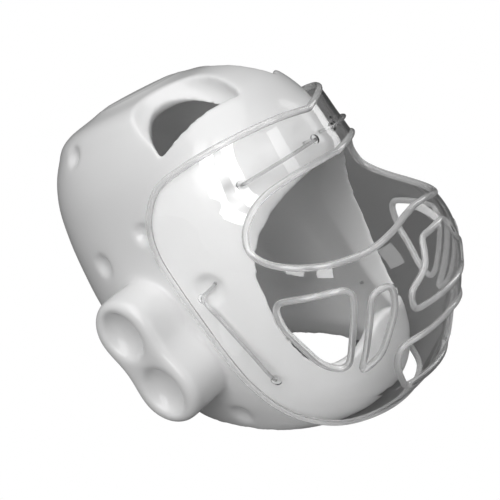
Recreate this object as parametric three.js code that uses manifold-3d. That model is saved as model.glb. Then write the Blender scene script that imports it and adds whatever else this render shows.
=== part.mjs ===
// Martial arts head guard: a one-piece dipped foam shell with an ear boss on each side, and a
// clear face shield laced to its forehead and cheeks by four short cords.
// Millimetres. x runs to the wearer's left, -y is the way the face looks, +z is up.
// The shell is drawn for a level gaze with its origin between the ears, and at the end the whole
// guard is tipped back until its neck rim lies flat, as it does on a shelf.
import * as THREE from 'three';
import { ParametricGeometry } from 'three/addons/geometries/ParametricGeometry.js';
import { mergeVertices } from 'three/addons/utils/BufferGeometryUtils.js';
import Module from 'manifold-3d';

const wasm = await Module();
wasm.setup();

// Foam shell
const shell_half_width = 95;
const shell_front = 129;
const shell_back = 109;
const crown_height = 166;
const rim_drop = 101;
const foam_wall = 18;
const rim_rounding = 6;
const rest_tilt = 20;
const squareness = 2.3;

// Face opening in the foam, seen from the front
const brow_height = 62;
const cheek_half_gap = 74;
const chin_gap_depth = 72;
const chin_lip_rise = 12;

// Crown openings, one each side of a middle bridge
const crown_hole_chord = 54;
const crown_hole_depth = 44;
const crown_scoop = 15;
const crown_scoop_depth = 12;
const crown_scoop_step = 0.6;
const crown_hole_turn = 35;
const crown_hole_pitch = 50;
const crown_hole_height = 132;

// Ear bosses, a figure eight with an oval cup in each lobe
const boss_reach = 130;
const boss_width = 57;
const boss_spacing = 50;
const boss_waist = 3;
const boss_edge = 8;
const boss_lean = 12;
const boss_center_y = 2;
const boss_center_z = -8;
const cup_height = 40;
const cup_width = 32;
const cup_depth = 11;

// Face shield: a clear sheet with a round bead along every edge
const sheet_thickness = 1.6;
const bead_radius = 2.6;
const vent_bead_radius = 2.3;
const seat_gap = 0.4;
const prow_reach = 62;
const prow_angle = 64;
const eye_angle = 40;
const eye_low = 24.5;
const eye_high = 67.8;
const edge_angle = 73.4;
const edge_low = -87;
const edge_high = 109.7;
const vent_radius = 150;

// Lacing cords
const cord_diameter = 2.6;
const cord_clearance = 0.7;
const cord_hole_depth = 13;
const sheet_hole_radius = 4.4;

// Mesh steps
const around = 48;
const edge_steps = 42;
const vent_steps = 18;
const bead_sides = 5;
const cord_sides = 8;
const cord_step = 5.6;
const finest_detail = 0.02;

const degree = Math.PI / 180;

// Shell sections from the neck rim up to the crown. Heights are shares of rim_drop below the
// ears and of crown_height above them. The rest are shares of the half width and the reaches.
const shell_sections = [
  { height: -1, half: 0.773, front: 0.562, back: 0.708 },
  { height: -0.871, half: 0.819, front: 0.715, back: 0.738 },
  { height: -0.653, half: 0.9, front: 0.834, back: 0.819 },
  { height: -0.272, half: 0.98, front: 0.919, back: 0.91 },
  { height: 0.066, half: 1, front: 0.97, back: 0.976 },
  { height: 0.298, half: 0.977, front: 0.996, back: 1 },
  { height: 0.53, half: 0.928, front: 1, back: 0.996 },
  { height: 0.716, half: 0.853, front: 0.936, back: 0.94 },
  { height: 0.861, half: 0.726, front: 0.783, back: 0.809 },
  { height: 0.954, half: 0.577, front: 0.545, back: 0.627 },
  { height: 1, half: 0.323, front: 0.255, back: 0.324 },
];

// How far the sheet stands off the foam on the midline, as a share of prow_reach
const prow_sections = [
  { height: -1, reach: 0.107 },
  { height: -0.817, reach: 0.214 },
  { height: -0.416, reach: 0.589 },
  { height: -0.198, reach: 0.839 },
  { height: 0.078, reach: 1 },
  { height: 0.199, reach: 0.804 },
  { height: 0.283, reach: 0.5 },
  { height: 0.373, reach: 0.232 },
  { height: 0.476, reach: 0.143 },
  { height: 0.7, reach: 0.143 },
];

// Ribs of the sheet from the brow's middle round to the chin's middle. Each runs from the eye
// edge to the outer edge, with angles and heights as shares of the named limits.
const sheet_ribs = [
  { eye_turn: 0, eye_rise: 0.96, edge_turn: 0, edge_rise: 0.961 },
  { eye_turn: 0.225, eye_rise: 0.995, edge_turn: 0.19, edge_rise: 0.991 },
  { eye_turn: 0.5, eye_rise: 1, edge_turn: 0.41, edge_rise: 1 },
  { eye_turn: 0.725, eye_rise: 0.935, edge_turn: 0.627, edge_rise: 0.986 },
  { eye_turn: 0.863, eye_rise: 0.808, edge_turn: 0.817, edge_rise: 0.951 },
  { eye_turn: 0.958, eye_rise: 0.647, edge_turn: 0.954, edge_rise: 0.854 },
  { eye_turn: 1, eye_rise: 0.45, edge_turn: 1, edge_rise: 0.737 },
  { eye_turn: 0.97, eye_rise: 0.3, edge_turn: 0.974, edge_rise: 0.61 },
  { eye_turn: 0.9, eye_rise: 0.185, edge_turn: 0.937, edge_rise: 0.483 },
  { eye_turn: 0.79, eye_rise: 0.088, edge_turn: 0.9, edge_rise: 0.341 },
  { eye_turn: 0.625, eye_rise: 0.012, edge_turn: 0.845, edge_rise: 0.208 },
  { eye_turn: 0.425, eye_rise: 0, edge_turn: 0.708, edge_rise: 0.081 },
  { eye_turn: 0.25, eye_rise: 0.058, edge_turn: 0.49, edge_rise: 0.01 },
  { eye_turn: 0.125, eye_rise: 0.11, edge_turn: 0.245, edge_rise: 0 },
  { eye_turn: 0, eye_rise: 0.132, edge_turn: 0, edge_rise: 0 },
];

// Vent outlines along the middle of their beads, on the sheet laid flat, as shares of
// vent_radius: across from the midline and up from ear level. The two at the sides are drawn
// once for each side, the two in the middle as a whole.
const vents = [
  {
    sides: [-1, 1],
    rounding: 0.0533,
    corners: [[0.72, 0.095], [0.42, 0.08], [0.535, -0.225], [0.64, -0.19], [0.735, -0.01]],
  },
  {
    sides: [-1, 1],
    rounding: 0.0367,
    corners: [[0.372, 0.041], [0.288, 0.046], [0.304, -0.04], [0.396, -0.198], [0.485, -0.249]],
  },
  {
    sides: [1],
    rounding: 0.0267,
    corners: [
      [0.0933, 0.1233], [0.1333, 0.0433], [0.23, -0.0067], [0.23, -0.0733],
      [-0.23, -0.0733], [-0.23, -0.0067], [-0.1333, 0.0433], [-0.0933, 0.1233],
    ],
  },
  {
    sides: [1],
    rounding: 0.0467,
    corners: [
      [0, -0.16], [0.3133, -0.1867], [0.3233, -0.28], [0.2667, -0.4],
      [-0.2667, -0.4], [-0.3233, -0.28], [-0.3133, -0.1867],
    ],
  },
];

// Dimples pressed in the foam: angle from the front, height as a share of rim_drop below the
// ears and of crown_height above them, radius and depth as shares of foam_wall
const dimples = [
  { turn: 116, height: 0.873, radius: 0.444, depth: 0.222 },
  { turn: 77, height: 0.452, radius: 0.444, depth: 0.278 },
  { turn: 111, height: 0.373, radius: 0.5, depth: 0.278 },
  { turn: 80, height: -0.772, radius: 0.5, depth: 0.222 },
  { turn: 34.5, height: 0.458, radius: 0.444, depth: 0.278 },
  { turn: 59, height: 0.157, radius: 0.667, depth: 0.361 },
];

// Routes of the cords, chosen by hand: a turn from the front, a height, and a level over the
// foam or over the sheet. Each cord starts and ends in a hole in the foam.
const sheet_middle = seat_gap + bead_radius;
const over_sheet = sheet_thickness / 2 + cord_diameter / 2 + 3 * seat_gap;
const forehead_route = [
  { turn: 32, height: 79, foam: -cord_hole_depth },
  { turn: 32, height: 79, foam: -4 },
  { turn: 32, height: 79, foam: 4 },
  { turn: 31.9, height: 79.1, sheet: 0 },
  { turn: 31, height: 79.4, sheet: over_sheet },
  { turn: 29, height: 79.8, sheet: over_sheet },
  { turn: 25, height: 80.4, sheet: over_sheet },
  { turn: 18, height: 81.2, sheet: over_sheet },
  { turn: 11, height: 81.7, sheet: over_sheet },
  { turn: 7.5, height: 81.8, sheet: over_sheet },
  { turn: 6, height: 81.8, sheet: over_sheet },
  { turn: 5.2, height: 81.8, sheet: 0 },
  { turn: 5.1, height: 81.8, foam: 4 },
  { turn: 5.1, height: 81.8, foam: -4 },
  { turn: 5.1, height: 81.8, foam: -cord_hole_depth },
];
const cheek_route = [
  { turn: 55.5, height: 28.5, foam: -cord_hole_depth },
  { turn: 55.5, height: 28.5, foam: -5 },
  { turn: 56.5, height: 27.7, foam: -2.2 },
  { turn: 60, height: 25.2, foam: -0.8 },
  { turn: 62.2, height: 23.7, foam: 0.6 },
  { turn: 62.9, height: 22.6, sheet: 0.8 },
  { turn: 62.2, height: 19, sheet: over_sheet },
  { turn: 60, height: 9, sheet: over_sheet },
  { turn: 57.5, height: -4, sheet: over_sheet },
  { turn: 55, height: -18, sheet: over_sheet },
  { turn: 52.4, height: -34.5, sheet: over_sheet },
  { turn: 51.8, height: -37.6, sheet: 1 },
  { turn: 51.6, height: -38.6, foam: 3 },
  { turn: 51.6, height: -38.8, foam: -4 },
  { turn: 51.6, height: -38.8, foam: -cord_hole_depth },
];
const cords = [
  { name: 'forehead_cord', route: forehead_route },
  { name: 'cheek_cord', route: cheek_route },
];

// Shell and sheet surfaces, each given by a turn from the front and a height

function from_ears(share) {
  return share * (share < 0 ? rim_drop : crown_height);
}

function column_curve(rows, names) {
  const heights = rows.map((row) => from_ears(row.height));
  const values = rows.flatMap((row) => names.map((name) => row[name]));
  return new THREE.CubicInterpolant(heights, values, names.length);
}

const shell_curve = column_curve(shell_sections, ['half', 'front', 'back']);
const prow_curve = column_curve(prow_sections, ['reach']);

function shell_radius(turn, height) {
  const [half, front, back] = shell_curve.evaluate(height);
  const reach = Math.cos(turn) > 0 ? front * shell_front : back * shell_back;
  const lengthwise = Math.abs(Math.cos(turn)) / reach;
  const crosswise = Math.abs(Math.sin(turn)) / (half * shell_half_width);
  return (lengthwise ** squareness + crosswise ** squareness) ** (-1 / squareness);
}

// The sections lie level at the brow and slant more and more down to the tipped neck rim
function slant(height) {
  const level_from = 0.4 * crown_height;
  const full_from = -0.545 * rim_drop;
  const share = THREE.MathUtils.clamp((level_from - height) / (level_from - full_from), 0, 1);
  return share * Math.tan(rest_tilt * degree);
}

function shell_point(turn, height, level) {
  const radius = shell_radius(turn, height) + level;
  const y = -radius * Math.cos(turn);
  return new THREE.Vector3(radius * Math.sin(turn), y, height + slant(height) * y);
}

function sheet_point(turn, height, level) {
  const fade = Math.cos(Math.min(Math.abs(turn) / (prow_angle * degree), 1) * Math.PI / 2) ** 1.7;
  const stand_off = prow_curve.evaluate(height)[0] * prow_reach * fade;
  return shell_point(turn, height, level + stand_off);
}

// Solids from three.js geometries

function to_solid(geometry) {
  const bare = geometry.clone();
  bare.deleteAttribute('normal');
  bare.deleteAttribute('uv');
  const merged = mergeVertices(bare, 1e-4);
  const corners = merged.index.array;
  const kept = [];
  for (let i = 0; i < corners.length; i += 3) {
    const [a, b, c] = corners.slice(i, i + 3);
    if (a !== b && b !== c && c !== a) kept.push(a, b, c);
  }
  return new wasm.Manifold(new wasm.Mesh({
    numProp: 3,
    vertProperties: new Float32Array(merged.attributes.position.array),
    triVerts: new Uint32Array(kept),
  }));
}

function to_geometry(solid) {
  const mesh = solid.simplify(finest_detail).getMesh();
  const geometry = new THREE.BufferGeometry();
  geometry.setAttribute('position', new THREE.BufferAttribute(mesh.vertProperties, 3));
  geometry.setIndex(new THREE.BufferAttribute(mesh.triVerts, 1));
  geometry.computeVertexNormals();
  return geometry;
}

function from_grid(place, columns, rows) {
  return to_solid(new ParametricGeometry((u, v, target) => {
    target.copy(place(Math.round(u * columns) % columns, Math.round(v * rows)));
  }, columns, rows));
}

function join(solids) {
  return solids.reduce((whole, solid) => whole.add(solid));
}

// Foam shell: one row of points after another, down the outside, round the rim, up the inside

function row_height(share) {
  const rise = Math.cos(share * Math.PI / 2);
  return crown_height * rise ** 2 - (rim_drop - rim_rounding) * (1 - rise) ** 2;
}

function shell_rows() {
  const outer_steps = 15;
  const inner_steps = 8;
  const rim_steps = 2;
  const rows = [];
  for (let i = 0; i <= outer_steps; i += 1) {
    rows.push({ height: row_height(i / outer_steps), inset: 0 });
  }
  for (let i = 1; i <= rim_steps; i += 1) {
    const swing = (i / rim_steps) * Math.PI / 2;
    const drop = rim_drop - rim_rounding * (1 - Math.sin(swing));
    rows.push({ height: -drop, inset: rim_rounding * (1 - Math.cos(swing)) });
  }
  for (let i = rim_steps; i > 0; i -= 1) {
    const swing = (i / rim_steps) * Math.PI / 2;
    const drop = rim_drop - rim_rounding * (1 - Math.sin(swing));
    rows.push({ height: -drop, inset: foam_wall - rim_rounding * (1 - Math.cos(swing)) });
  }
  for (let i = inner_steps; i >= 0; i -= 1) {
    rows.push({ height: row_height(i / inner_steps), inset: foam_wall });
  }
  return rows;
}

function make_shell() {
  const rows = shell_rows();
  const last = rows.length + 1;
  return from_grid((column, row) => {
    if (row === 0) return new THREE.Vector3(0, 0, crown_height + 1);
    if (row === last) return new THREE.Vector3(0, 0, crown_height + 1 - foam_wall);
    const { height, inset } = rows[row - 1];
    const point = shell_point(-(column / around) * 2 * Math.PI, height, -inset);
    // Inside, the dome is lowered by a wall at the crown and by less further down
    if (inset === foam_wall && height > 0) point.z -= foam_wall * height / crown_height;
    return point;
  }, around, last);
}

function make_face_opening() {
  const gap = cheek_half_gap;
  const floor = -chin_gap_depth;
  const lip = floor + chin_lip_rise;
  const outline = new THREE.Shape();
  outline.moveTo(0, brow_height);
  outline.bezierCurveTo(0.72 * gap, brow_height, gap, 0.72 * brow_height, gap, 0);
  outline.bezierCurveTo(gap, 0.75 * floor, 0.85 * gap, floor, 0.6 * gap, floor);
  outline.bezierCurveTo(0.35 * gap, floor, 0.25 * gap, lip, 0, lip);
  outline.bezierCurveTo(-0.25 * gap, lip, -0.35 * gap, floor, -0.6 * gap, floor);
  outline.bezierCurveTo(-0.85 * gap, floor, -gap, 0.75 * floor, -gap, 0);
  outline.bezierCurveTo(-gap, 0.72 * brow_height, -0.72 * gap, brow_height, 0, brow_height);
  const block = new THREE.ExtrudeGeometry(outline, {
    depth: shell_front, bevelEnabled: false, curveSegments: 7,
  });
  block.rotateX(Math.PI / 2);
  block.translate(0, -0.2 * shell_front, 0);
  return to_solid(block);
}

// A half oval cut through the crown with its straight side to the front, and a round scoop
// that eases the foam down to its curved side
function make_crown_opening(side) {
  const turn = side * crown_hole_turn * degree;
  const pitch = crown_hole_pitch * degree;
  const level_axis = new THREE.Vector3(Math.sin(turn), -Math.cos(turn), 0);
  const axis = level_axis.multiplyScalar(Math.cos(pitch)).setZ(Math.sin(pitch));
  const chord = new THREE.Vector3(Math.cos(turn), Math.sin(turn), 0);
  const upward = new THREE.Vector3().crossVectors(axis, chord);
  const place = new THREE.Matrix4().makeBasis(chord, upward, axis);
  place.setPosition(shell_point(turn, crown_hole_height, 0));

  const half_oval = new THREE.Shape();
  half_oval.absellipse(0, 0, crown_hole_chord / 2, crown_hole_depth, 0, Math.PI, false);
  const through = new THREE.ExtrudeGeometry(half_oval, {
    depth: 5 * foam_wall, bevelEnabled: false, curveSegments: 8,
  });
  through.translate(0, 0, -3.5 * foam_wall);

  const scoop = new THREE.ExtrudeGeometry(half_oval, {
    depth: foam_wall,
    curveSegments: 8,
    bevelEnabled: true,
    bevelSize: crown_scoop + crown_scoop_step,
    bevelOffset: -crown_scoop_step,
    bevelThickness: crown_scoop_depth,
    bevelSegments: 3,
  });
  const reach = 3 * crown_hole_depth;
  const behind_chord = new THREE.BoxGeometry(2 * reach, reach, 2 * reach);
  behind_chord.translate(0, reach / 2 + crown_scoop_step, 0);

  const parts = [through, scoop, behind_chord].map((part) => to_solid(part.applyMatrix4(place)));
  return parts[0].add(parts[1].intersect(parts[2]));
}

function make_ear_boss(side) {
  const lobe = boss_width / 2;
  const waist = lobe - boss_waist;
  const half = boss_spacing / 2;
  const outline = new THREE.Shape();
  outline.absarc(0, half, lobe, 0, Math.PI, false);
  outline.bezierCurveTo(-lobe, 0.6 * half, -waist, 0.4 * half, -waist, 0);
  outline.bezierCurveTo(-waist, -0.4 * half, -lobe, -0.6 * half, -lobe, -half);
  outline.absarc(0, -half, lobe, Math.PI, 2 * Math.PI, false);
  outline.bezierCurveTo(lobe, -0.6 * half, waist, -0.4 * half, waist, 0);
  outline.bezierCurveTo(waist, 0.4 * half, lobe, 0.6 * half, lobe, half);
  const root = shell_half_width - foam_wall + 3;
  const depth = boss_reach - root - 2 * boss_edge;
  const body = new THREE.ExtrudeGeometry(outline, {
    depth,
    curveSegments: 6,
    bevelEnabled: true,
    bevelSize: boss_edge,
    bevelThickness: boss_edge,
    bevelOffset: -boss_edge,
    bevelSegments: 2,
  });
  body.translate(0, 0, -depth / 2);
  // The outline's x runs to the back and its y up, and the boss stands out along x
  const place = new THREE.Matrix4().makeBasis(
    new THREE.Vector3(0, 1, 0), new THREE.Vector3(0, 0, 1), new THREE.Vector3(1, 0, 0),
  );
  place.multiply(new THREE.Matrix4().makeRotationZ(-boss_lean * degree));
  place.setPosition(side * (root + boss_reach) / 2, boss_center_y, boss_center_z);
  body.applyMatrix4(place);

  const cups = [-1, 1].map((end) => {
    const cup = new THREE.SphereGeometry(1, 14, 6);
    cup.rotateX(Math.PI / 2);
    cup.scale(cup_width / 2, cup_height / 2, cup_depth);
    cup.translate(0, end * half, side * (boss_reach - root) / 2);
    return to_solid(cup.applyMatrix4(place));
  });
  return { body: to_solid(body), cups };
}

function outward(turn, height) {
  const step = 0.01;
  const across = shell_point(turn + step, height, 0).sub(shell_point(turn - step, height, 0));
  const up = shell_point(turn, height + 1, 0).sub(shell_point(turn, height - 1, 0));
  return across.cross(up).normalize();
}

function make_dimple(dimple, side) {
  const turn = side * dimple.turn * degree;
  const height = from_ears(dimple.height);
  const radius = dimple.radius * foam_wall;
  const hollow = new THREE.SphereGeometry(1, 9, 4);
  hollow.scale(radius, dimple.depth * foam_wall, radius);
  const along = new THREE.Vector3(0, 1, 0);
  hollow.applyQuaternion(new THREE.Quaternion().setFromUnitVectors(along, outward(turn, height)));
  const center = shell_point(turn, height, 0);
  hollow.translate(center.x, center.y, center.z);
  return to_solid(hollow);
}

function make_rod(from, to, radius) {
  const length = from.distanceTo(to);
  const rod = new THREE.CylinderGeometry(radius, radius, length, cord_sides);
  const along = to.clone().sub(from).normalize();
  rod.applyQuaternion(new THREE.Quaternion().setFromUnitVectors(new THREE.Vector3(0, 1, 0), along));
  const middle = from.clone().lerp(to, 0.5);
  rod.translate(middle.x, middle.y, middle.z);
  return to_solid(rod);
}

function route_point({ turn, height, foam, sheet }, side) {
  const angle = side * turn * degree;
  if (sheet === undefined) return shell_point(angle, height, foam);
  return sheet_point(angle, height, sheet_middle + sheet);
}

// A hole in the foam for each end of a cord
function make_foam_holes(route, side) {
  const radius = cord_diameter / 2 + cord_clearance;
  return [route[0], route[route.length - 1]].map(({ turn, height }) => make_rod(
    shell_point(side * turn * degree, height, -cord_hole_depth - cord_clearance),
    shell_point(side * turn * degree, height, 2 * cord_diameter),
    radius,
  ));
}

// A hole in the sheet wherever a cord passes between the foam and the outside
function make_sheet_holes(route, side) {
  const outside = route.map((point) => point.sheet !== undefined);
  const crossings = route.filter((point, i) => i > 0 && outside[i] !== outside[i - 1]);
  return crossings.map(({ turn, height }) => make_rod(
    sheet_point(side * turn * degree, height, sheet_middle - 4 * sheet_thickness),
    sheet_point(side * turn * degree, height, sheet_middle + 4 * sheet_thickness),
    sheet_hole_radius,
  ));
}

// Face shield

const rib_columns = ['eye_turn', 'eye_rise', 'edge_turn', 'edge_rise'];
const rib_curve = new THREE.CubicInterpolant(
  sheet_ribs.map((rib, i) => i),
  sheet_ribs.flatMap((rib) => rib_columns.map((name) => rib[name])),
  rib_columns.length,
);

function rib_ends(step) {
  const half = edge_steps / 2;
  const side = step <= half ? 1 : -1;
  const share = 1 - Math.abs(step - half) / half;
  const [eye_turn, eye_rise, edge_turn, edge_rise] = rib_curve.evaluate(share * (sheet_ribs.length - 1));
  return {
    eye: [side * eye_turn * eye_angle * degree, THREE.MathUtils.lerp(eye_low, eye_high, eye_rise)],
    edge: [side * edge_turn * edge_angle * degree, THREE.MathUtils.lerp(edge_low, edge_high, edge_rise)],
  };
}

// The sheet's cross section: round bead at the eye edge, outside face, round bead at the outer
// edge, inside face. Shares run from edge to edge, and past is the way beyond the nearer edge.
function sheet_section() {
  const face_shares = [0.14, 0.38, 0.62, 0.86];
  const swings = [-126, -63, 0, 63, 126].map((swing) => swing * degree);
  const section = [];
  for (const swing of swings) {
    section.push({ share: 0, past: bead_radius * Math.cos(swing), level: bead_radius * Math.sin(swing) });
  }
  for (const share of face_shares) section.push({ share, past: 0, level: sheet_thickness / 2 });
  for (const swing of swings) {
    section.push({ share: 1, past: bead_radius * Math.cos(swing), level: -bead_radius * Math.sin(swing) });
  }
  for (const share of face_shares.reverse()) section.push({ share, past: 0, level: -sheet_thickness / 2 });
  return section;
}

function make_sheet() {
  const section = sheet_section();
  return from_grid((column, row) => {
    const { share, past, level } = section[row % section.length];
    const { eye, edge } = rib_ends(column);
    const length = sheet_point(...eye, 0).distanceTo(sheet_point(...edge, 0));
    const along = share + (share < 0.5 ? -past : past) / length;
    const turn = THREE.MathUtils.lerp(eye[0], edge[0], along);
    const height = THREE.MathUtils.lerp(eye[1], edge[1], along);
    return sheet_point(turn, height, sheet_middle + level);
  }, edge_steps, section.length);
}

function vent_outline({ corners, rounding }) {
  const points = corners.map((corner) => new THREE.Vector2(...corner).multiplyScalar(vent_radius));
  const path = new THREE.Path();
  points.forEach((corner, i) => {
    const before = points[(i + points.length - 1) % points.length];
    const after = points[(i + 1) % points.length];
    const room = Math.min(corner.distanceTo(before), corner.distanceTo(after)) / 2;
    const short = Math.min(rounding * vent_radius, room);
    const start = corner.clone().lerp(before, short / corner.distanceTo(before));
    const end = corner.clone().lerp(after, short / corner.distanceTo(after));
    if (i === 0) path.moveTo(start.x, start.y);
    else path.lineTo(start.x, start.y);
    path.quadraticCurveTo(corner.x, corner.y, end.x, end.y);
  });
  path.closePath();
  return path.getSpacedPoints(vent_steps).slice(0, vent_steps);
}

function bend_to_sheet(across, up, level, side) {
  return sheet_point(side * across / vent_radius, up, sheet_middle + level);
}

function make_vent_cutter(vent, side) {
  const reach = 10 * vent_bead_radius;
  const outline = vent_outline(vent).map((point) => new THREE.Vector2(side * point.x, point.y));
  const block = new THREE.ExtrudeGeometry(new THREE.Shape(outline), {
    depth: 2 * reach, bevelEnabled: false,
  });
  const positions = block.attributes.position;
  for (let i = 0; i < positions.count; i += 1) {
    const point = bend_to_sheet(positions.getX(i), positions.getY(i), positions.getZ(i) - reach, 1);
    positions.setXYZ(i, point.x, point.y, point.z);
  }
  return to_solid(block);
}

function make_vent_bead(vent, side) {
  const outline = vent_outline(vent);
  const middle = outline.map((point) => bend_to_sheet(point.x, point.y, 0, side));
  const raised = outline.map((point) => bend_to_sheet(point.x, point.y, 1, side));
  return from_grid((column, row) => {
    const before = middle[(column + vent_steps - 1) % vent_steps];
    const after = middle[(column + 1) % vent_steps];
    const along = after.clone().sub(before).normalize();
    const across = along.clone().cross(raised[column].clone().sub(middle[column])).normalize();
    const out = across.clone().cross(along);
    const swing = -(row % bead_sides) / bead_sides * 2 * Math.PI;
    return middle[column].clone()
      .addScaledVector(out, vent_bead_radius * Math.cos(swing))
      .addScaledVector(across, vent_bead_radius * Math.sin(swing));
  }, vent_steps, bead_sides);
}

function make_cord(route, side) {
  const points = route.map((point) => route_point(point, side));
  const path = new THREE.CatmullRomCurve3(points, false, 'centripetal');
  const ring = [];
  for (let i = 0; i < cord_sides; i += 1) {
    const swing = (i / cord_sides) * 2 * Math.PI;
    ring.push(new THREE.Vector2(Math.cos(swing), Math.sin(swing)).multiplyScalar(cord_diameter / 2));
  }
  return new THREE.ExtrudeGeometry(new THREE.Shape(ring), {
    steps: Math.ceil(path.getLength() / cord_step), extrudePath: path, bevelEnabled: false,
  });
}

function make_foam() {
  const bosses = [-1, 1].map(make_ear_boss);
  const cuts = [make_face_opening(), ...bosses.flatMap((boss) => boss.cups)];
  for (const side of [-1, 1]) {
    cuts.push(make_crown_opening(side));
    cuts.push(...dimples.map((dimple) => make_dimple(dimple, side)));
    cuts.push(...cords.flatMap(({ route }) => make_foam_holes(route, side)));
  }
  const body = join([make_shell(), ...bosses.map((boss) => boss.body)]);
  return to_geometry(body.subtract(join(cuts)));
}

function make_shield() {
  const places = vents.flatMap((vent) => vent.sides.map((side) => [vent, side]));
  const cuts = places.map(([vent, side]) => make_vent_cutter(vent, side));
  const beads = places.map(([vent, side]) => make_vent_bead(vent, side));
  const holes = [-1, 1].flatMap((side) => cords.flatMap(({ route }) => make_sheet_holes(route, side)));
  const pierced = make_sheet().subtract(join([...cuts, ...holes]));
  return to_geometry(join([pierced, ...beads]));
}

// Assembly

const foam_white = new THREE.MeshStandardMaterial({ color: '#e4e4e4', roughness: 0.35, metalness: 0 });
const clear_sheet = new THREE.MeshStandardMaterial({
  color: '#f2f4f5', roughness: 0.05, metalness: 0, transparent: true, opacity: 0.35,
});
const clear_cord = new THREE.MeshStandardMaterial({ color: '#ececec', roughness: 0.25, metalness: 0 });

function named_mesh(name, geometry, material) {
  const mesh = new THREE.Mesh(geometry, material);
  mesh.name = name;
  return mesh;
}

const guard = new THREE.Group();
guard.add(named_mesh('foam_shell', make_foam(), foam_white));
guard.add(named_mesh('face_shield', make_shield(), clear_sheet));
for (const { name, route } of cords) {
  guard.add(named_mesh(`${name}_right`, make_cord(route, -1), clear_cord));
  guard.add(named_mesh(`${name}_left`, make_cord(route, 1), clear_cord));
}
guard.rotation.x = -rest_tilt * degree;

// The rim stands on z = 0, with the origin below the middle of the guard's length
guard.updateMatrixWorld(true);
const extent = new THREE.Box3().setFromObject(guard, true);
guard.position.set(0, -(extent.min.y + extent.max.y) / 2, rim_drop * Math.cos(rest_tilt * degree));

const head_guard = new THREE.Group();
head_guard.add(guard);

export default head_guard;
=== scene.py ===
import math

import bmesh
import bpy
from mathutils import Matrix, Vector


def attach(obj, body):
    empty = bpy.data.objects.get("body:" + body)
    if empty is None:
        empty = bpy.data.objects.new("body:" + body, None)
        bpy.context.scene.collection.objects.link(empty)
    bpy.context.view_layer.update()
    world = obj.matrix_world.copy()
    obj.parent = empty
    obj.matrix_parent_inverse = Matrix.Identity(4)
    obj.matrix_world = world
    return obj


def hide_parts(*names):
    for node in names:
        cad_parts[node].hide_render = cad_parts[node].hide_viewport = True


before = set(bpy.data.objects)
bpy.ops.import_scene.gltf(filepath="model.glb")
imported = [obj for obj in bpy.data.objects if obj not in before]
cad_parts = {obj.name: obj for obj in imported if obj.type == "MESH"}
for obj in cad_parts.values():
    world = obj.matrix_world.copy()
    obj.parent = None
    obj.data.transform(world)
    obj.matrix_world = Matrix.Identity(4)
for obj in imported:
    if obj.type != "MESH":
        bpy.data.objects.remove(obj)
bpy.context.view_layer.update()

# Resting pose
# The guard is drawn for a level gaze, in metres, with its origin between the ears. It stands
# tipped back until its neck rim lies flat, with the middle of its length over the origin.

rest_tilt = math.radians(20)
rim_drop = 0.101
length_shift = 0.02704
to_rest = (
    Matrix.Translation((0, length_shift, rim_drop * math.cos(rest_tilt)))
    @ Matrix.Rotation(-rest_tilt, 4, "X")
)

# Camera
# A long lens about a metre off the right front, a little above the level gaze and rolled, so
# that the guard leans forward to the right as it does in the picture.

camera_turn = math.radians(48.4)
camera_rise = math.radians(10.3)
camera_roll = math.radians(27.3)
camera_distance = 0.9647
camera_target = Vector((0.0154, -0.0132, 0.0132))
lens_mm = 86.4
sensor_mm = 36

towards_camera = Vector((
    -math.sin(camera_turn) * math.cos(camera_rise),
    -math.cos(camera_turn) * math.cos(camera_rise),
    math.sin(camera_rise),
))
level_right = Vector((math.cos(camera_turn), -math.sin(camera_turn), 0))
level_up = towards_camera.cross(level_right)
picture_right = level_right * math.cos(camera_roll) - level_up * math.sin(camera_roll)
picture_up = level_up * math.cos(camera_roll) + level_right * math.sin(camera_roll)

camera_data = bpy.data.cameras.new("photo_camera")
camera_data.lens = lens_mm
camera_data.sensor_width = sensor_mm
camera = bpy.data.objects.new("photo_camera", camera_data)
bpy.context.scene.collection.objects.link(camera)
bpy.context.scene.camera = camera
camera_axes = Matrix((picture_right, picture_up, towards_camera)).transposed().to_4x4()
camera_place = Matrix.Translation(camera_target + towards_camera * camera_distance)
camera.matrix_world = to_rest @ camera_place @ camera_axes

# Foam shell
# One piece of moulded closed-cell foam, dipped in glossy white vinyl: a deep dome open below
# and at the face, with a figure-eight boss over each ear and two vents through the crown.

shell_half_width = 0.095
shell_front = 0.129
shell_back = 0.109
crown_height = 0.166
foam_wall = 0.018
rim_rounding = 0.006
squareness = 2.3
brow_height = 0.062
cheek_half_gap = 0.074
chin_gap_depth = 0.072
chin_lip_rise = 0.012

# The shell's sections lie level above the first height and slant fully below the second, as
# shares of crown_height and of rim_drop
level_share = 0.4
slant_share = -0.545

# Shares of rim_drop below the ears and of crown_height above them, then of the half width
# and of the reaches to the front and back
shell_sections = [
    # height, half, front, back
    (-1.0, 0.773, 0.562, 0.708),
    (-0.871, 0.819, 0.715, 0.738),
    (-0.653, 0.9, 0.834, 0.819),
    (-0.272, 0.98, 0.919, 0.91),
    (0.066, 1.0, 0.97, 0.976),
    (0.298, 0.977, 0.996, 1.0),
    (0.53, 0.928, 1.0, 0.996),
    (0.716, 0.853, 0.936, 0.94),
    (0.861, 0.726, 0.783, 0.809),
    (0.954, 0.577, 0.545, 0.627),
    (1.0, 0.323, 0.255, 0.324),
]


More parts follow.
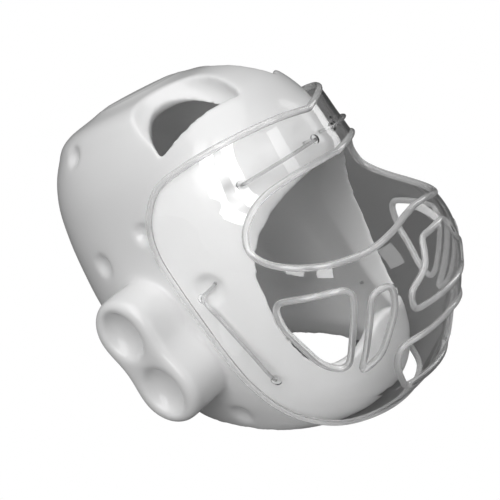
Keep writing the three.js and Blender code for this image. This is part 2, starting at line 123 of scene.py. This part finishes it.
def smooth_table(places, rows):
    """A cubic curve through the rows of a table, held at its end values beyond them."""
    def at(place):
        if place <= places[0]:
            return rows[0]
        if place >= places[-1]:
            return rows[-1]
        after = next(i for i, one in enumerate(places) if one > place)
        before = after - 1
        start, stop = places[before], places[after]
        has_first = before > 0
        has_last = after + 1 < len(places)
        first_place = places[before - 1] if has_first else 2 * start - stop
        last_place = places[after + 1] if has_last else 2 * stop - start
        first = rows[before - 1] if has_first else rows[after]
        last = rows[after + 1] if has_last else rows[before]
        back = (stop - start) / 2 / (start - first_place)
        on = (stop - start) / 2 / (last_place - stop)
        p = (place - start) / (stop - start)
        weights = (
            -back * p**3 + 2 * back * p**2 - back * p,
            (1 + back) * p**3 - (1.5 + 2 * back) * p**2 + (back - 0.5) * p + 1,
            -(1 + on) * p**3 + (1.5 + on) * p**2 + 0.5 * p,
            on * p**3 - on * p**2,
        )
        corners = (first, rows[before], rows[after], last)
        return [sum(w * v for w, v in zip(weights, column)) for column in zip(*corners)]

    return at


def real_height(share):
    return share * (rim_drop if share < 0 else crown_height)


shell_curve = smooth_table(
    [real_height(row[0]) for row in shell_sections],
    [row[1:] for row in shell_sections],
)


def shell_point(turn, height, level=0.0):
    """A point over the foam's outside, at a turn from the front and a height over the ears."""
    half, front, back = shell_curve(height)
    reach = front * shell_front if math.cos(turn) > 0 else back * shell_back
    lengthwise = abs(math.cos(turn)) / reach
    crosswise = abs(math.sin(turn)) / (half * shell_half_width)
    radius = (lengthwise**squareness + crosswise**squareness) ** (-1 / squareness) + level
    y = -radius * math.cos(turn)
    # Sections lie level at the brow and slant more and more down to the tipped neck rim
    level_from = level_share * crown_height
    full_from = slant_share * rim_drop
    share = min(max((level_from - height) / (level_from - full_from), 0), 1)
    slant = share * math.tan(rest_tilt)
    return Vector((radius * math.sin(turn), y, height + slant * y))


def shell_outward(turn, height):
    """The direction straight out of the foam's outside."""
    step = 0.01
    across = shell_point(turn + step, height) - shell_point(turn - step, height)
    up = shell_point(turn, height + step * foam_wall) - shell_point(turn, height - step * foam_wall)
    return across.cross(up).normalized()


def new_piece(name, bm):
    """A shown object made from a bmesh, which is used up."""
    mesh = bpy.data.meshes.new(name)
    bm.to_mesh(mesh)
    bm.free()
    piece = bpy.data.objects.new(name, mesh)
    bpy.context.scene.collection.objects.link(piece)
    return piece


def loft(bm, rings):
    """A closed solid through rings of as many points each, from one flat end to the other."""
    order = bm.verts.layers.int.get("order") or bm.verts.layers.int.new("order")
    made = bmesh.ops.create_circle(bm, segments=len(rings[0]), radius=1)["verts"]
    for index, (vert, point) in enumerate(zip(made, rings[0])):
        vert[order] = index
        vert.co = point
    faces = [bm.faces.new(made)]
    edges = faces[0].edges[:]
    for ring in rings[1:]:
        grown = bmesh.ops.extrude_edge_only(bm, edges=edges)["geom"]
        made = sorted(
            (part for part in grown if isinstance(part, bmesh.types.BMVert)),
            key=lambda vert: vert[order],
        )
        faces += [part for part in grown if isinstance(part, bmesh.types.BMFace)]
        for vert, point in zip(made, ring):
            vert.co = point
        edges = [bm.edges.get((a, b)) for a, b in zip(made, made[1:] + made[:1])]
    faces.append(bm.faces.new(made))
    bmesh.ops.recalc_face_normals(bm, faces=faces)


def apply_modifiers(piece):
    """Swap a piece's mesh for what its modifiers make of it."""
    depsgraph = bpy.context.evaluated_depsgraph_get()
    mesh = bpy.data.meshes.new_from_object(piece.evaluated_get(depsgraph))
    piece.modifiers.clear()
    piece.data = mesh


def combine(piece, tool, operation):
    """Cut a piece by a tool or join the two, and put the tool away."""
    step = piece.modifiers.new("combine", "BOOLEAN")
    step.operation = operation
    step.solver = "EXACT"
    step.use_self = True
    step.object = tool
    apply_modifiers(piece)
    bpy.data.objects.remove(tool)


def dome_height(share):
    """Heights down the shell, close together at the crown and near the rim."""
    rise = math.cos(share * math.pi / 2)
    return crown_height * rise**2 - rim_drop * (1 - rise) ** 2


columns = 128
rings = 88
cap_share = 0.09
cap_rise = 0.001
rim_sharpness = 1.0
rim_segments = 5
dome = bmesh.new()
bmesh.ops.create_uvsphere(dome, u_segments=columns, v_segments=rings, radius=1)
bmesh.ops.delete(dome, geom=[min(dome.verts, key=lambda v: v.co.z)], context="VERTS")
for vert in dome.verts:
    turn = math.atan2(vert.co.x, -vert.co.y)
    share = math.acos(max(-1, min(1, vert.co.z))) / (math.pi * (1 - 1 / rings))
    down = max(0, (share - cap_share) / (1 - cap_share))
    inward = min(1, share / cap_share)
    point = shell_point(turn, dome_height(down))
    vert.co = (point.x * inward, point.y * inward, point.z + cap_rise * (1 - inward**2))
bmesh.ops.solidify(dome, geom=dome.faces[:], thickness=foam_wall)
bmesh.ops.recalc_face_normals(dome, faces=dome.faces[:])
rim_edges = [edge for edge in dome.edges if edge.calc_face_angle(0) > rim_sharpness]
bmesh.ops.bevel(
    dome, geom=rim_edges, offset=rim_rounding, segments=rim_segments, profile=0.5, affect="EDGES",
)
foam = new_piece("dipped_foam_shell", dome)


def bezier(points, steps):
    """Points along a Bezier curve of any degree, without its last one."""
    found = []
    for step in range(steps):
        t = step / steps
        row = list(points)
        while len(row) > 1:
            row = [a.lerp(b, t) for a, b in zip(row, row[1:])]
        found.append(row[0])
    return found


def mirrored_outline(half):
    """An outline closed by its own mirror image across x = 0."""
    return half + [Vector((-p.x, p.y)) for p in reversed(half[1:-1])]


# Ear bosses, each a figure eight with two deep oval cups
boss_reach = 0.130
boss_width = 0.057
boss_spacing = 0.050
boss_waist = 0.003
boss_edge = 0.008
root_cover = 0.003
boss_lean = math.radians(12)
boss_center = (0.002, -0.008)
cup_height = 0.040
cup_width = 0.032
cup_depth = 0.011

lobe = boss_width / 2
lobe_center = boss_spacing / 2
arc_steps = 24
waist_steps = 14
figure_eight = []
for side in (1, -1):
    for i in range(arc_steps):
        swing = i / arc_steps * math.pi
        figure_eight.append(Vector((math.cos(swing), math.sin(swing))) * lobe * side)
        figure_eight[-1].y += lobe_center * side
    for i in range(waist_steps):
        up = lobe_center * (1 - 2 * i / waist_steps)
        pinch = boss_waist * math.cos(up / lobe_center * math.pi / 2) ** 2
        figure_eight.append(Vector((pinch - lobe, up)) * side)


def boss_place(side):
    """From the boss's own plane, with x to the back, y up and z out, to the head's side."""
    axes = Matrix(((0, 0, 1), (1, 0, 0), (0, 1, 0))).to_4x4()
    return Matrix.Translation((0, *boss_center)) @ axes @ Matrix.Rotation(-boss_lean, 4, "Z")


def inset_outline(outline, inset):
    """The outline drawn in by an equal distance all round."""
    count = len(outline)
    drawn = []
    for i, point in enumerate(outline):
        along = (outline[(i + 1) % count] - outline[i - 1]).normalized()
        drawn.append(point + Vector((-along.y, along.x)) * inset)
    return drawn


edge_steps = 8
boss_root = shell_half_width - foam_wall + root_cover
for side in (-1, 1):
    boss = bmesh.new()
    boss_rings = [(boss_root, 0.0)]
    for i in range(edge_steps + 1):
        swing = i / edge_steps * math.pi / 2
        boss_rings.append((
            boss_reach - boss_edge * (1 - math.sin(swing)),
            boss_edge * (1 - math.cos(swing)),
        ))
    place = boss_place(side)
    loft(boss, [
        [place @ Vector((*p, side * out)) for p in inset_outline(figure_eight, inset)]
        for out, inset in boss_rings
    ])
    combine(foam, new_piece("boss", boss), "UNION")

# Everything that the mould leaves open or pressed in
cutters = bmesh.new()

gap = cheek_half_gap
floor_height = -chin_gap_depth
lip_height = floor_height + chin_lip_rise
opening_half = (
    bezier([Vector((0, brow_height)), Vector((0.72 * gap, brow_height)),
            Vector((gap, 0.72 * brow_height)), Vector((gap, 0))], 24)
    + bezier([Vector((gap, 0)), Vector((gap, 0.75 * floor_height)),
              Vector((0.85 * gap, floor_height)), Vector((0.6 * gap, floor_height))], 20)
    + bezier([Vector((0.6 * gap, floor_height)), Vector((0.35 * gap, floor_height)),
              Vector((0.25 * gap, lip_height)), Vector((0, lip_height))], 16)
    + [Vector((0, lip_height))]
)
face_outline = mirrored_outline(opening_half)
loft(cutters, [
    [Vector((p.x, y, p.y)) for p in face_outline]
    for y in (-0.2 * shell_front, -1.3 * shell_front)
])

crown_hole_chord = 0.054
crown_hole_depth = 0.044
crown_scoop = 0.015
crown_scoop_depth = 0.012
scoop_steps = 8
crown_hole_turn = math.radians(35)
crown_hole_pitch = math.radians(50)
crown_hole_height = 0.132


def crown_place(side):
    """From the opening's own plane, with x along its straight side, y back and z out."""
    turn = side * crown_hole_turn
    axis = Vector((
        math.sin(turn) * math.cos(crown_hole_pitch),
        -math.cos(turn) * math.cos(crown_hole_pitch),
        math.sin(crown_hole_pitch),
    ))
    chord = Vector((math.cos(turn), math.sin(turn), 0))
    axes = Matrix((chord, axis.cross(chord), axis)).transposed().to_4x4()
    return Matrix.Translation(shell_point(turn, crown_hole_height)) @ axes


def half_oval(grow):
    """The opening's outline, grown outward round its curved side."""
    steps = 28
    points = []
    for i in range(steps + 1):
        swing = i / steps * math.pi
        points.append(Vector((
            math.cos(swing) * (crown_hole_chord / 2 + grow),
            math.sin(swing) * (crown_hole_depth + grow),
        )))
    return points


for side in (-1, 1):
    place = crown_place(side)
    loft(cutters, [
        [place @ Vector((*p, out)) for p in half_oval(0)]
        for out in (-3.5 * foam_wall, 1.5 * foam_wall)
    ])
    scoop_rings = []
    for i in range(scoop_steps + 1):
        swing = i / scoop_steps * math.pi / 2
        scoop_rings.append((-crown_scoop_depth * math.cos(swing), crown_scoop * math.sin(swing)))
    scoop_rings.append((foam_wall, crown_scoop))
    loft(cutters, [
        [place @ Vector((*p, out)) for p in half_oval(grow)]
        for out, grow in scoop_rings
    ])
    for end in (-1, 1):
        sized = Matrix.Diagonal((cup_width / 2, cup_height / 2, cup_depth, 1))
        cup = Matrix.Translation((0, end * lobe_center, side * boss_reach))
        bmesh.ops.create_uvsphere(
            cutters, u_segments=48, v_segments=24, radius=1,
            matrix=boss_place(side) @ cup @ sized,
        )

# Round dimples left by the mould's pins
dimples = [
    # turn, height, radius, depth
    (116, 0.145, 0.008, 0.004),
    (77, 0.075, 0.008, 0.005),
    (111, 0.062, 0.009, 0.005),
    (80, -0.078, 0.009, 0.004),
    (34.5, 0.076, 0.008, 0.005),
    (59, 0.026, 0.012, 0.0065),
]
for turn, height, radius, depth in dimples:
    for side in (-1, 1):
        angle = side * math.radians(turn)
        facing = shell_outward(angle, height).to_track_quat("Z", "Y").to_matrix().to_4x4()
        sized = Matrix.Diagonal((radius, radius, depth, 1))
        bmesh.ops.create_uvsphere(
            cutters, u_segments=32, v_segments=16, radius=1,
            matrix=Matrix.Translation(shell_point(angle, height)) @ facing @ sized,
        )
combine(foam, new_piece("cutters", cutters), "DIFFERENCE")

# The dip rounds every edge of the foam
skin_voxel = 0.0014
round_passes = 17
remesh = foam.modifiers.new("skin", "REMESH")
remesh.mode = "VOXEL"
remesh.voxel_size = skin_voxel
apply_modifiers(foam)
rounded = bmesh.new()
rounded.from_mesh(foam.data)
for _ in range(round_passes):
    bmesh.ops.smooth_vert(
        rounded, verts=rounded.verts[:], factor=0.5,
        use_axis_x=True, use_axis_y=True, use_axis_z=True,
    )
bmesh.ops.transform(rounded, matrix=to_rest, verts=rounded.verts[:])
for face in rounded.faces:
    face.smooth = True
rounded.to_mesh(foam.data)
rounded.free()


class Socket:
    """A shader socket that takes part in plain arithmetic, in its material's node tree."""

    def __init__(self, tree, socket=None):
        self.tree = tree
        self.socket = socket

    def node(self, kind, settings=None, inputs=(), output=0):
        made = self.tree.nodes.new(kind)
        for name, value in (settings or {}).items():
            setattr(made, name, value)
        pairs = inputs.items() if isinstance(inputs, dict) else enumerate(inputs)
        for name, value in pairs:
            if isinstance(value, Socket):
                self.tree.links.new(value.socket, made.inputs[name])
            else:
                made.inputs[name].default_value = value
        return Socket(self.tree, made.outputs[output])

    def math(self, operation, *others):
        return self.node("ShaderNodeMath", {"operation": operation}, [self, *others])

    def __add__(self, other):
        return self.math("ADD", other)

    def __sub__(self, other):
        return self.math("SUBTRACT", other)

    def __mul__(self, other):
        return self.math("MULTIPLY", other)

    __radd__ = __add__
    __rmul__ = __mul__


def new_material(name):
    """An empty node material and a start for its nodes."""
    material = bpy.data.materials.new(name)
    material.use_nodes = True
    material.node_tree.nodes.clear()
    return material, Socket(material.node_tree)


def show(shader):
    """Make a shader the surface of its material."""
    end = shader.tree.nodes.new("ShaderNodeOutputMaterial")
    shader.tree.links.new(shader.socket, end.inputs["Surface"])


def grey(value):
    return (value, value, value, 1)


vinyl, skin = new_material("dipped_vinyl")
place = skin.node("ShaderNodeTexCoord", output="Object")
broad = skin.node("ShaderNodeTexNoise", inputs={"Vector": place, "Scale": 14.0, "Detail": 2.0})
peel = skin.node("ShaderNodeTexNoise", inputs={"Vector": place, "Scale": 420.0, "Detail": 3.0})
wave = skin.node("ShaderNodeTexNoise", inputs={"Vector": place, "Scale": 55.0, "Detail": 1.0})
tone = skin.node(
    "ShaderNodeMix", {"data_type": "RGBA"},
    {"Factor": broad, 6: grey(0.86), 7: grey(0.9)}, output=2,
)
bumps = skin.node("ShaderNodeBump", inputs={
    "Strength": 0.35, "Distance": 0.0004, "Height": peel * 0.25 + wave,
}, output="Normal")
show(skin.node("ShaderNodeBsdfPrincipled", inputs={
    "Base Color": tone,
    "Roughness": broad * 0.12 + 0.3,
    "IOR": 1.46,
    "Coat Weight": 0.6,
    "Coat Roughness": 0.08,
    "Normal": bumps,
}))
foam.data.materials.append(vinyl)

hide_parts("foam_shell")
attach(foam, "root")

# Face shield
# A sheet of clear polycarbonate, formed to bulge over the mouth, with a round bead along its
# outer edge, the eye opening and the six vents. It lies on the brow and on both cheeks.

sheet_thickness = 0.0016
bead_radius = 0.0026
vent_bead_radius = 0.0026
seat_gap = 0.0004
prow_reach = 0.062
prow_angle = math.radians(64)
prow_fade = 1.7
eye_angle = math.radians(40)
eye_low = 0.0245
eye_high = 0.0678
edge_angle = math.radians(73.4)
edge_low = -0.087
edge_high = 0.1097
vent_radius = 0.150
sheet_hole_radius = 0.0035
sheet_middle = seat_gap + bead_radius

# How far the sheet stands off the foam on the midline, as a share of prow_reach
prow_sections = [
    # height, reach
    (-1.0, 0.107),
    (-0.817, 0.214),
    (-0.416, 0.589),
    (-0.198, 0.839),
    (0.078, 1.0),
    (0.199, 0.804),
    (0.283, 0.5),
    (0.373, 0.232),
    (0.476, 0.143),
    (0.7, 0.143),
]
prow_curve = smooth_table(
    [real_height(row[0]) for row in prow_sections],
    [row[1:] for row in prow_sections],
)

# Ribs from the brow's middle round to the chin's middle, each from the eye edge to the outer
# edge, with angles and heights as shares of the named limits
sheet_ribs = [
    # eye_turn, eye_rise, edge_turn, edge_rise
    (0, 0.96, 0, 0.961),
    (0.225, 0.995, 0.19, 0.991),
    (0.5, 1, 0.41, 1),
    (0.725, 0.935, 0.627, 0.986),
    (0.863, 0.808, 0.817, 0.951),
    (0.958, 0.647, 0.954, 0.854),
    (1, 0.45, 1, 0.737),
    (0.97, 0.3, 0.974, 0.61),
    (0.9, 0.185, 0.937, 0.483),
    (0.79, 0.088, 0.9, 0.341),
    (0.625, 0.012, 0.845, 0.208),
    (0.425, 0, 0.708, 0.081),
    (0.25, 0.058, 0.49, 0.01),
    (0.125, 0.11, 0.245, 0),
    (0, 0.132, 0, 0),
]
last_rib = len(sheet_ribs) - 1
rib_curve = smooth_table(list(range(len(sheet_ribs))), sheet_ribs)


def sheet_point(turn, height, level=0.0):
    """A point over the foam that follows the bulging sheet instead of the foam."""
    share = min(abs(turn) / prow_angle, 1)
    fade = math.cos(share * math.pi / 2) ** prow_fade
    stand_off = prow_curve(height)[0] * prow_reach * fade
    return shell_point(turn, height, level + stand_off)


def rib_point(around, across, level):
    """A point on the sheet, a share of the way round it and across from eye to outer edge."""
    side = 1 if around <= 0.5 else -1
    rib = rib_curve((1 - abs(2 * around - 1)) * last_rib)
    eye_turn, eye_rise, edge_turn, edge_rise = rib
    turn_from = side * eye_turn * eye_angle
    turn_to = side * edge_turn * edge_angle
    height_from = eye_low + (eye_high - eye_low) * eye_rise
    height_to = edge_low + (edge_high - edge_low) * edge_rise
    turn = turn_from + (turn_to - turn_from) * across
    height = height_from + (height_to - height_from) * across
    return sheet_point(turn, height, sheet_middle + level)


steps_around = 240
steps_across = 44
pane = bmesh.new()
bmesh.ops.create_grid(pane, x_segments=steps_around, y_segments=steps_across, size=1)
for vert in pane.verts:
    around = (vert.co.x + 1) / 2
    across = (vert.co.y + 1) / 2
    vert.co = rib_point(around, across, -sheet_thickness / 2)
bmesh.ops.remove_doubles(pane, verts=pane.verts[:], dist=1e-6)
bmesh.ops.recalc_face_normals(pane, faces=pane.faces[:])
front_face = max(pane.faces, key=lambda face: face.calc_center_median().z)
if front_face.normal.dot(front_face.calc_center_median()) < 0:
    bmesh.ops.reverse_faces(pane, faces=pane.faces[:])
bmesh.ops.solidify(pane, geom=pane.faces[:], thickness=-sheet_thickness)
bmesh.ops.recalc_face_normals(pane, faces=pane.faces[:])
shield = new_piece("clear_face_shield", pane)

# Vent corners along the middle of their beads, on the sheet laid flat: across from the
# midline and up from ear level. The middle vents are mirrored, the side ones copied.
vents = [
    # sides, rounding, corners
    ((-1, 1), 0.008, [
        (0.108, 0.0142), (0.063, 0.012), (0.0802, -0.0338), (0.096, -0.0285), (0.1102, -0.0015),
    ]),
    ((-1, 1), 0.0055, [
        (0.0558, 0.0062), (0.0432, 0.0069), (0.0456, -0.006), (0.0594, -0.0297), (0.0728, -0.0374),
    ]),
    ((1,), 0.004, [
        (0.014, 0.0185), (0.02, 0.0065), (0.0345, -0.001), (0.0345, -0.011),
        (-0.0345, -0.011), (-0.0345, -0.001), (-0.02, 0.0065), (-0.014, 0.0185),
    ]),
    ((1,), 0.007, [
        (0, -0.024), (0.047, -0.028), (0.0485, -0.042), (0.04, -0.06),
        (-0.04, -0.06), (-0.0485, -0.042), (-0.047, -0.028),
    ]),
]
vent_steps = 96


def evenly(points, count):
    """As many points as asked, evenly spaced round a closed outline."""
    closed = points + points[:1]
    lengths = [0.0]
    for a, b in zip(closed, closed[1:]):
        lengths.append(lengths[-1] + (b - a).length)
    found = []
    span = 0
    for i in range(count):
        along = lengths[-1] * i / count
        while lengths[span + 1] < along:
            span += 1
        share = (along - lengths[span]) / (lengths[span + 1] - lengths[span])
        found.append(closed[span].lerp(closed[span + 1], share))
    return found


def rounded_outline(corners, rounding):
    """The outline through the corners, each rounded off by a curve."""
    corners = [Vector(corner) for corner in corners]
    points = []
    for i, corner in enumerate(corners):
        before = corners[i - 1]
        after = corners[(i + 1) % len(corners)]
        cut = min(rounding, (before - corner).length / 2, (after - corner).length / 2)
        start = corner + (before - corner).normalized() * cut
        stop = corner + (after - corner).normalized() * cut
        points += bezier([start, corner, stop], 10) + [stop]
    return evenly(points, vent_steps)


def bead(name, path, radius):
    """A round bead along a closed path."""
    line = bpy.data.curves.new(name, "CURVE")
    line.dimensions = "3D"
    line.bevel_depth = radius
    line.bevel_resolution = 4
    spline = line.splines.new("POLY")
    spline.points.add(len(path) - 1)
    for point, place in zip(spline.points, path):
        point.co = (*place, 1)
    spline.use_cyclic_u = True
    round_bead = bpy.data.objects.new(name, line)
    bpy.context.scene.collection.objects.link(round_bead)
    mesh = bpy.data.meshes.new_from_object(round_bead)
    bpy.data.objects.remove(round_bead)
    return mesh


windows = bmesh.new()
beads = bmesh.new()
cut_reach = 10 * vent_bead_radius
for sides, rounding, corners in vents:
    outline = rounded_outline(corners, rounding)
    for side in sides:
        inside, middle, outside = [
            [
                sheet_point(side * p.x / vent_radius, p.y, sheet_middle + level)
                for p in outline
            ]
            for level in (-cut_reach, 0, cut_reach)
        ]
        loft(windows, [inside, outside])
        beads.from_mesh(bead("vent_bead", middle, vent_bead_radius))
for across in (0, 1):
    path = [rib_point(i / steps_around, across, 0) for i in range(steps_around)]
    beads.from_mesh(bead("edge_bead", path, bead_radius))
combine(shield, new_piece("windows", windows), "DIFFERENCE")

# One plastic for both: clear in the sheet, and whitish in the thick beads as painted sheen for
# their pale highlight band
polycarbonate, skin = new_material("clear_polycarbonate")
clear = skin.node("ShaderNodeBsdfPrincipled", inputs={
    "Base Color": grey(0.97),
    "Roughness": 0.02,
    "IOR": 1.52,
    "Transmission Weight": 1.0,
})
passed = skin.node("ShaderNodeBsdfTransparent", inputs={"Color": grey(0.93)})
lamp_ray = skin.node("ShaderNodeLightPath", output="Is Shadow Ray")
show(skin.node("ShaderNodeMixShader", inputs=[lamp_ray, clear, passed]))
bead_painted_sheen, skin = new_material("bead_polycarbonate_painted_sheen")
place = skin.node("ShaderNodeTexCoord", output="Object")
streaks = skin.node("ShaderNodeTexNoise", inputs={"Vector": place, "Scale": 60.0, "Detail": 2.0})
# The whitish base colour is painted sheen, standing for the pale band of highlights along the beads
bead_sheen_shader = skin.node("ShaderNodeBsdfPrincipled", inputs={
    "Base Color": grey(0.9),
    "Roughness": streaks * 0.1 + 0.03,
    "IOR": 1.52,
    "Transmission Weight": 0.72,
    "Coat Weight": 0.6,
    "Coat Roughness": 0.03,
})
passed = skin.node("ShaderNodeBsdfTransparent", inputs={"Color": grey(0.8)})
lamp_ray = skin.node("ShaderNodeLightPath", output="Is Shadow Ray")
show(skin.node("ShaderNodeMixShader", inputs=[lamp_ray, bead_sheen_shader, passed]))
round_beads = new_piece("beads", beads)
for part in (shield, round_beads):
    part.data.materials.append(polycarbonate)
    part.data.materials.append(bead_painted_sheen)
for face in round_beads.data.polygons:
    face.material_index = 1
combine(shield, round_beads, "UNION")

# Lacing cords
# Four short clear cords hold the sheet. Each comes out of the foam through the sheet, runs
# over it and goes back in, and is knotted behind.

cord_diameter = 0.0026
cord_end_depth = 0.013
over_sheet = sheet_thickness / 2 + cord_diameter / 2 + 2 * seat_gap

# Chosen: turn and height in degrees and metres, and a level over the foam or sheet
forehead_route = [
    (32, 0.079, "foam", -cord_end_depth),
    (32, 0.079, "foam", -0.004),
    (32, 0.079, "foam", 0.004),
    (31.9, 0.0791, "sheet", 0),
    (31, 0.0794, "sheet", over_sheet),
    (29, 0.0798, "sheet", over_sheet),
    (25, 0.0804, "sheet", over_sheet),
    (18, 0.0812, "sheet", over_sheet),
    (11, 0.0817, "sheet", over_sheet),
    (7.5, 0.0818, "sheet", over_sheet),
    (6, 0.0818, "sheet", over_sheet),
    (5.2, 0.0818, "sheet", 0),
    (5.1, 0.0818, "foam", 0.004),
    (5.1, 0.0818, "foam", -0.004),
    (5.1, 0.0818, "foam", -cord_end_depth),
]
cheek_route = [
    (55.5, 0.0285, "foam", -cord_end_depth),
    (55.5, 0.0285, "foam", -0.005),
    (56.5, 0.0277, "foam", -0.0022),
    (60, 0.0252, "foam", -0.0008),
    (62.2, 0.0237, "foam", 0.0006),
    (62.9, 0.0226, "sheet", 0.0008),
    (62.2, 0.019, "sheet", over_sheet),
    (60, 0.009, "sheet", over_sheet),
    (57.5, -0.004, "sheet", over_sheet),
    (55, -0.018, "sheet", over_sheet),
    (52.4, -0.0345, "sheet", over_sheet),
    (51.8, -0.0376, "sheet", 0.001),
    (51.6, -0.0386, "foam", 0.003),
    (51.6, -0.0388, "foam", -0.004),
    (51.6, -0.0388, "foam", -cord_end_depth),
]


def route_point(side, turn, height, over, level):
    angle = side * math.radians(turn)
    if over == "foam":
        return shell_point(angle, height, level)
    return sheet_point(angle, height, sheet_middle + level)


clear_cord, skin = new_material("clear_cord")
show(skin.node("ShaderNodeBsdfPrincipled", inputs={
    "Base Color": grey(0.8),
    "Roughness": 0.06,
    "IOR": 1.5,
    "Transmission Weight": 0.85,
    "Coat Weight": 0.5,
    "Coat Roughness": 0.05,
}))

lace_holes = bmesh.new()
for name, route in (("forehead_cord", forehead_route), ("cheek_cord", cheek_route)):
    for side, side_name in ((-1, "right"), (1, "left")):
        line = bpy.data.curves.new(name, "CURVE")
        line.dimensions = "3D"
        line.bevel_depth = cord_diameter / 2
        line.bevel_resolution = 5
        line.use_fill_caps = True
        line.resolution_u = 8
        spline = line.splines.new("BEZIER")
        spline.bezier_points.add(len(route) - 1)
        for point, row in zip(spline.bezier_points, route):
            point.co = to_rest @ route_point(side, *row)
            point.handle_left_type = "AUTO"
            point.handle_right_type = "AUTO"
        maker = bpy.data.objects.new(name, line)
        bpy.context.scene.collection.objects.link(maker)
        cord_mesh = bpy.data.meshes.new_from_object(maker)
        bpy.data.objects.remove(maker)
        cord = bpy.data.objects.new(f"{name}_{side_name}_lace", cord_mesh)
        bpy.context.scene.collection.objects.link(cord)
        cord_mesh.shade_smooth()
        cord_mesh.materials.append(clear_cord)
        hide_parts(f"{name}_{side_name}")
        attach(cord, "root")
        for before, row in zip(route, route[1:]):
            if before[2] == row[2]:
                continue
            turn = side * math.radians(row[0])
            reach = 5 * sheet_thickness
            inner = sheet_point(turn, row[1], sheet_middle - reach)
            outer = sheet_point(turn, row[1], sheet_middle + reach)
            facing = (outer - inner).to_track_quat("Z", "Y").to_matrix().to_4x4()
            bmesh.ops.create_cone(
                lace_holes, segments=40, cap_ends=True, depth=2 * reach,
                radius1=sheet_hole_radius, radius2=sheet_hole_radius,
                matrix=Matrix.Translation(inner.lerp(outer, 0.5)) @ facing,
            )
combine(shield, new_piece("lace_holes", lace_holes), "DIFFERENCE")

sheet_skin = bmesh.new()
sheet_skin.from_mesh(shield.data)
bmesh.ops.transform(sheet_skin, matrix=to_rest, verts=sheet_skin.verts[:])
sheet_skin.to_mesh(shield.data)
sheet_skin.free()
shield.data.shade_smooth()
shield.data.set_sharp_from_angle(angle=math.radians(40))

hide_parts("face_shield")
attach(shield, "root")

# Floor and light
# A plain white floor that fills the picture. Where it shows through the sheet or shines back it is
# dark grey, painted shade that darkens the sheet's far side, in a dim room with a wide lamp
# overhead and two tall lamps like window panes.

floor_mesh = bmesh.new()
bmesh.ops.create_grid(floor_mesh, x_segments=1, y_segments=1, size=6)
floor_plane = new_piece("floor", floor_mesh)
paper, skin = new_material("white_floor_painted_dark_in_sheet")
# Seen by any ray but the camera's, the floor is dark grey: painted shade in the reflections in and
# the view through the sheet
painted_dark_reflection = skin.node("ShaderNodeBsdfDiffuse", inputs={"Color": grey(0.22)})
blank = skin.node("ShaderNodeEmission", inputs={"Color": grey(1.0), "Strength": 1.0})
camera_ray = skin.node("ShaderNodeLightPath", output="Is Camera Ray")
show(skin.node("ShaderNodeMixShader", inputs=[camera_ray, painted_dark_reflection, blank]))
floor_plane.data.materials.append(paper)

room = bpy.data.worlds.new("room")
room.use_nodes = True
room.node_tree.nodes["Background"].inputs["Color"].default_value = grey(1.0)
room.node_tree.nodes["Background"].inputs["Strength"].default_value = 0.12
bpy.context.scene.world = room
bpy.context.scene.view_settings.view_transform = "Standard"

lamps = [
    # name, width, height, watts, place
    ("overhead", 1.5, 1.5, 14.5, (-0.5, -0.2, 1.7)),
    ("window_pane_left", 0.34, 1.1, 5.8, (-1.62, -0.12, 1.0)),
    ("window_pane_right", 0.34, 1.1, 5.8, (-1.42, -0.62, 1.0)),
    ("front_fill", 0.5, 0.9, 2.8, (-0.2, -1.7, 0.8)),
    ("rim_right", 0.25, 1.0, 2, (1.3, -0.7, 0.7)),
]
for name, width, height, watts, spot in lamps:
    lamp = bpy.data.lights.new(name, "AREA")
    lamp.shape = "RECTANGLE"
    lamp.size = width
    lamp.size_y = height
    lamp.energy = watts
    holder = bpy.data.objects.new(name, lamp)
    bpy.context.scene.collection.objects.link(holder)
    aim = (Vector((0, 0, 0.12)) - Vector(spot)).to_track_quat("-Z", "Y")
    holder.matrix_world = Matrix.Translation(spot) @ aim.to_matrix().to_4x4()
